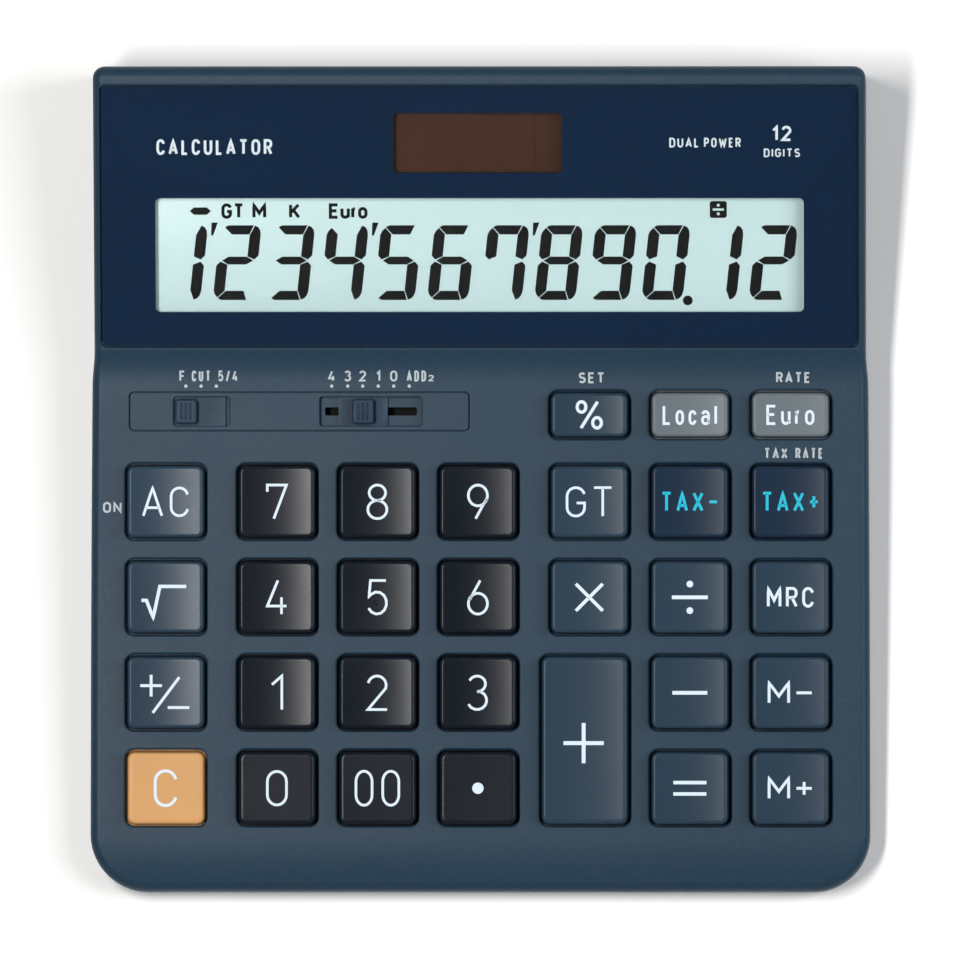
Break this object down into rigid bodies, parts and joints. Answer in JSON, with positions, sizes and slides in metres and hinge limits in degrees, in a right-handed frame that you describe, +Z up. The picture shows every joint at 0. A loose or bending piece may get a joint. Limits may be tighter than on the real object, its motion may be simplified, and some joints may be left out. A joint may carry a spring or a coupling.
{
  "type": "desk calculator",
  "caption": "Wedge-shaped desk calculator with an inclined display over a sloping deck of sprung keys and two slide switches.",
  "frame": {"origin": "on the table, under the middle of the case's width and depth, at the undersides of the four rubber feet", "axes": "+X to the user's right, +Y from the front edge to the display, +Z up"},
  "size_m": [0.151, 0.159, 0.0285],
  "materials": {
    "housing": "fine satin grain, slate blue",
    "rear_housing": "fine matt grain, dark slate blue",
    "number_key": "satin, near black",
    "function_key": "satin, slate blue",
    "tax_key": "satin, dark blue",
    "grey_key": "satin, grey",
    "clear_key": "satin, orange",
    "switch_plastic": "satin, blue",
    "window": "polished acrylic, printed navy blue from behind",
    "lcd": "polarised twisted-nematic glass, pale grey green",
    "solar": "amorphous silicon on glass, dark brown",
    "white_plastic": "matt white",
    "silicone": "matt grey silicone",
    "circuit_board": "green solder mask",
    "epoxy": "glossy black epoxy",
    "ribbon": "amber polyester film",
    "rubber": "matt black",
    "steel": "bright zinc plate",
    "brass": "bright spring brass",
    "cell_steel": "bright nickel"
  },
  "bodies": {
    "case": {"front_cover": "housing", "rear_cover": "rear_housing", "switch_plate": "housing", "display_window": "window", "lcd_panel": "lcd", "solar_cell": "solar", "display_bracket": "white_plastic", "lcd_ribbon": "ribbon", "key_mat": "silicone", "main_board": "circuit_board", "controller_chip": "epoxy", "battery_cell": "cell_steel", "battery_contact_positive": "brass", "battery_contact_negative": "brass", "battery_cover": "rear_housing", "battery_cover_screw": "steel", "board_screw_left": "steel", "board_screw_right": "steel", "case_screw_front_left": "steel", "case_screw_front_right": "steel", "case_screw_rear_left": "steel", "case_screw_rear_right": "steel", "foot_front_left": "rubber", "foot_front_right": "rubber", "foot_rear_left": "rubber", "foot_rear_right": "rubber"},
    "key_percent": {"key_percent": "function_key"},
    "key_local": {"key_local": "grey_key"},
    "key_euro": {"key_euro": "grey_key"},
    "key_ac": {"key_ac": "function_key"},
    "key_7": {"key_7": "number_key"},
    "key_8": {"key_8": "number_key"},
    "key_9": {"key_9": "number_key"},
    "key_gt": {"key_gt": "function_key"},
    "key_tax_minus": {"key_tax_minus": "tax_key"},
    "key_tax_plus": {"key_tax_plus": "tax_key"},
    "key_root": {"key_root": "function_key"},
    "key_4": {"key_4": "number_key"},
    "key_5": {"key_5": "number_key"},
    "key_6": {"key_6": "number_key"},
    "key_multiply": {"key_multiply": "function_key"},
    "key_divide": {"key_divide": "function_key"},
    "key_memory_recall": {"key_memory_recall": "function_key"},
    "key_sign": {"key_sign": "function_key"},
    "key_1": {"key_1": "number_key"},
    "key_2": {"key_2": "number_key"},
    "key_3": {"key_3": "number_key"},
    "key_minus": {"key_minus": "function_key"},
    "key_memory_minus": {"key_memory_minus": "function_key"},
    "key_clear": {"key_clear": "clear_key"},
    "key_0": {"key_0": "number_key"},
    "key_00": {"key_00": "number_key"},
    "key_point": {"key_point": "number_key"},
    "key_equals": {"key_equals": "function_key"},
    "key_memory_plus": {"key_memory_plus": "function_key"},
    "key_plus": {"key_plus": "function_key"},
    "rounding_knob": {"rounding_knob": "switch_plastic", "rounding_wiper": "brass"},
    "decimal_knob": {"decimal_knob": "switch_plastic", "decimal_wiper": "brass"}
  },
  "joints": [
    {"name": "press_percent", "type": "slide", "parent": "case", "child": "key_percent", "axis": [0, 0.0523, -0.9986], "range_m": [0, 0.0014], "stiffness_N_per_m": 250, "springref_m": -0.001, "deforming": ["key_mat"]},
    {"name": "press_local", "type": "slide", "parent": "case", "child": "key_local", "axis": [0, 0.0523, -0.9986], "range_m": [0, 0.0014], "stiffness_N_per_m": 250, "springref_m": -0.001, "deforming": ["key_mat"]},
    {"name": "press_euro", "type": "slide", "parent": "case", "child": "key_euro", "axis": [0, 0.0523, -0.9986], "range_m": [0, 0.0014], "stiffness_N_per_m": 250, "springref_m": -0.001, "deforming": ["key_mat"]},
    {"name": "press_ac", "type": "slide", "parent": "case", "child": "key_ac", "axis": [0, 0.0523, -0.9986], "range_m": [0, 0.0014], "stiffness_N_per_m": 250, "springref_m": -0.001, "deforming": ["key_mat"]},
    {"name": "press_7", "type": "slide", "parent": "case", "child": "key_7", "axis": [0, 0.0523, -0.9986], "range_m": [0, 0.0014], "stiffness_N_per_m": 250, "springref_m": -0.001, "deforming": ["key_mat"]},
    {"name": "press_8", "type": "slide", "parent": "case", "child": "key_8", "axis": [0, 0.0523, -0.9986], "range_m": [0, 0.0014], "stiffness_N_per_m": 250, "springref_m": -0.001, "deforming": ["key_mat"]},
    {"name": "press_9", "type": "slide", "parent": "case", "child": "key_9", "axis": [0, 0.0523, -0.9986], "range_m": [0, 0.0014], "stiffness_N_per_m": 250, "springref_m": -0.001, "deforming": ["key_mat"]},
    {"name": "press_gt", "type": "slide", "parent": "case", "child": "key_gt", "axis": [0, 0.0523, -0.9986], "range_m": [0, 0.0014], "stiffness_N_per_m": 250, "springref_m": -0.001, "deforming": ["key_mat"]},
    {"name": "press_tax_minus", "type": "slide", "parent": "case", "child": "key_tax_minus", "axis": [0, 0.0523, -0.9986], "range_m": [0, 0.0014], "stiffness_N_per_m": 250, "springref_m": -0.001, "deforming": ["key_mat"]},
    {"name": "press_tax_plus", "type": "slide", "parent": "case", "child": "key_tax_plus", "axis": [0, 0.0523, -0.9986], "range_m": [0, 0.0014], "stiffness_N_per_m": 250, "springref_m": -0.001, "deforming": ["key_mat"]},
    {"name": "press_root", "type": "slide", "parent": "case", "child": "key_root", "axis": [0, 0.0523, -0.9986], "range_m": [0, 0.0014], "stiffness_N_per_m": 250, "springref_m": -0.001, "deforming": ["key_mat"]},
    {"name": "press_4", "type": "slide", "parent": "case", "child": "key_4", "axis": [0, 0.0523, -0.9986], "range_m": [0, 0.0014], "stiffness_N_per_m": 250, "springref_m": -0.001, "deforming": ["key_mat"]},
    {"name": "press_5", "type": "slide", "parent": "case", "child": "key_5", "axis": [0, 0.0523, -0.9986], "range_m": [0, 0.0014], "stiffness_N_per_m": 250, "springref_m": -0.001, "deforming": ["key_mat"]},
    {"name": "press_6", "type": "slide", "parent": "case", "child": "key_6", "axis": [0, 0.0523, -0.9986], "range_m": [0, 0.0014], "stiffness_N_per_m": 250, "springref_m": -0.001, "deforming": ["key_mat"]},
    {"name": "press_multiply", "type": "slide", "parent": "case", "child": "key_multiply", "axis": [0, 0.0523, -0.9986], "range_m": [0, 0.0014], "stiffness_N_per_m": 250, "springref_m": -0.001, "deforming": ["key_mat"]},
    {"name": "press_divide", "type": "slide", "parent": "case", "child": "key_divide", "axis": [0, 0.0523, -0.9986], "range_m": [0, 0.0014], "stiffness_N_per_m": 250, "springref_m": -0.001, "deforming": ["key_mat"]},
    {"name": "press_memory_recall", "type": "slide", "parent": "case", "child": "key_memory_recall", "axis": [0, 0.0523, -0.9986], "range_m": [0, 0.0014], "stiffness_N_per_m": 250, "springref_m": -0.001, "deforming": ["key_mat"]},
    {"name": "press_sign", "type": "slide", "parent": "case", "child": "key_sign", "axis": [0, 0.0523, -0.9986], "range_m": [0, 0.0014], "stiffness_N_per_m": 250, "springref_m": -0.001, "deforming": ["key_mat"]},
    {"name": "press_1", "type": "slide", "parent": "case", "child": "key_1", "axis": [0, 0.0523, -0.9986], "range_m": [0, 0.0014], "stiffness_N_per_m": 250, "springref_m": -0.001, "deforming": ["key_mat"]},
    {"name": "press_2", "type": "slide", "parent": "case", "child": "key_2", "axis": [0, 0.0523, -0.9986], "range_m": [0, 0.0014], "stiffness_N_per_m": 250, "springref_m": -0.001, "deforming": ["key_mat"]},
    {"name": "press_3", "type": "slide", "parent": "case", "child": "key_3", "axis": [0, 0.0523, -0.9986], "range_m": [0, 0.0014], "stiffness_N_per_m": 250, "springref_m": -0.001, "deforming": ["key_mat"]},
    {"name": "press_minus", "type": "slide", "parent": "case", "child": "key_minus", "axis": [0, 0.0523, -0.9986], "range_m": [0, 0.0014], "stiffness_N_per_m": 250, "springref_m": -0.001, "deforming": ["key_mat"]},
    {"name": "press_memory_minus", "type": "slide", "parent": "case", "child": "key_memory_minus", "axis": [0, 0.0523, -0.9986], "range_m": [0, 0.0014], "stiffness_N_per_m": 250, "springref_m": -0.001, "deforming": ["key_mat"]},
    {"name": "press_clear", "type": "slide", "parent": "case", "child": "key_clear", "axis": [0, 0.0523, -0.9986], "range_m": [0, 0.0014], "stiffness_N_per_m": 250, "springref_m": -0.001, "deforming": ["key_mat"]},
    {"name": "press_0", "type": "slide", "parent": "case", "child": "key_0", "axis": [0, 0.0523, -0.9986], "range_m": [0, 0.0014], "stiffness_N_per_m": 250, "springref_m": -0.001, "deforming": ["key_mat"]},
    {"name": "press_00", "type": "slide", "parent": "case", "child": "key_00", "axis": [0, 0.0523, -0.9986], "range_m": [0, 0.0014], "stiffness_N_per_m": 250, "springref_m": -0.001, "deforming": ["key_mat"]},
    {"name": "press_point", "type": "slide", "parent": "case", "child": "key_point", "axis": [0, 0.0523, -0.9986], "range_m": [0, 0.0014], "stiffness_N_per_m": 250, "springref_m": -0.001, "deforming": ["key_mat"]},
    {"name": "press_equals", "type": "slide", "parent": "case", "child": "key_equals", "axis": [0, 0.0523, -0.9986], "range_m": [0, 0.0014], "stiffness_N_per_m": 250, "springref_m": -0.001, "deforming": ["key_mat"]},
    {"name": "press_memory_plus", "type": "slide", "parent": "case", "child": "key_memory_plus", "axis": [0, 0.0523, -0.9986], "range_m": [0, 0.0014], "stiffness_N_per_m": 250, "springref_m": -0.001, "deforming": ["key_mat"]},
    {"name": "press_plus", "type": "slide", "parent": "case", "child": "key_plus", "axis": [0, 0.0523, -0.9986], "range_m": [0, 0.0014], "stiffness_N_per_m": 250, "springref_m": -0.001, "deforming": ["key_mat"]},
    {"name": "rounding_slide", "type": "slide", "parent": "case", "child": "rounding_knob", "axis": [1, 0, 0], "range_m": [0, 0.006]},
    {"name": "decimal_slide", "type": "slide", "parent": "case", "child": "decimal_knob", "axis": [1, 0, 0], "range_m": [-0.006, 0.009]}
  ]
}
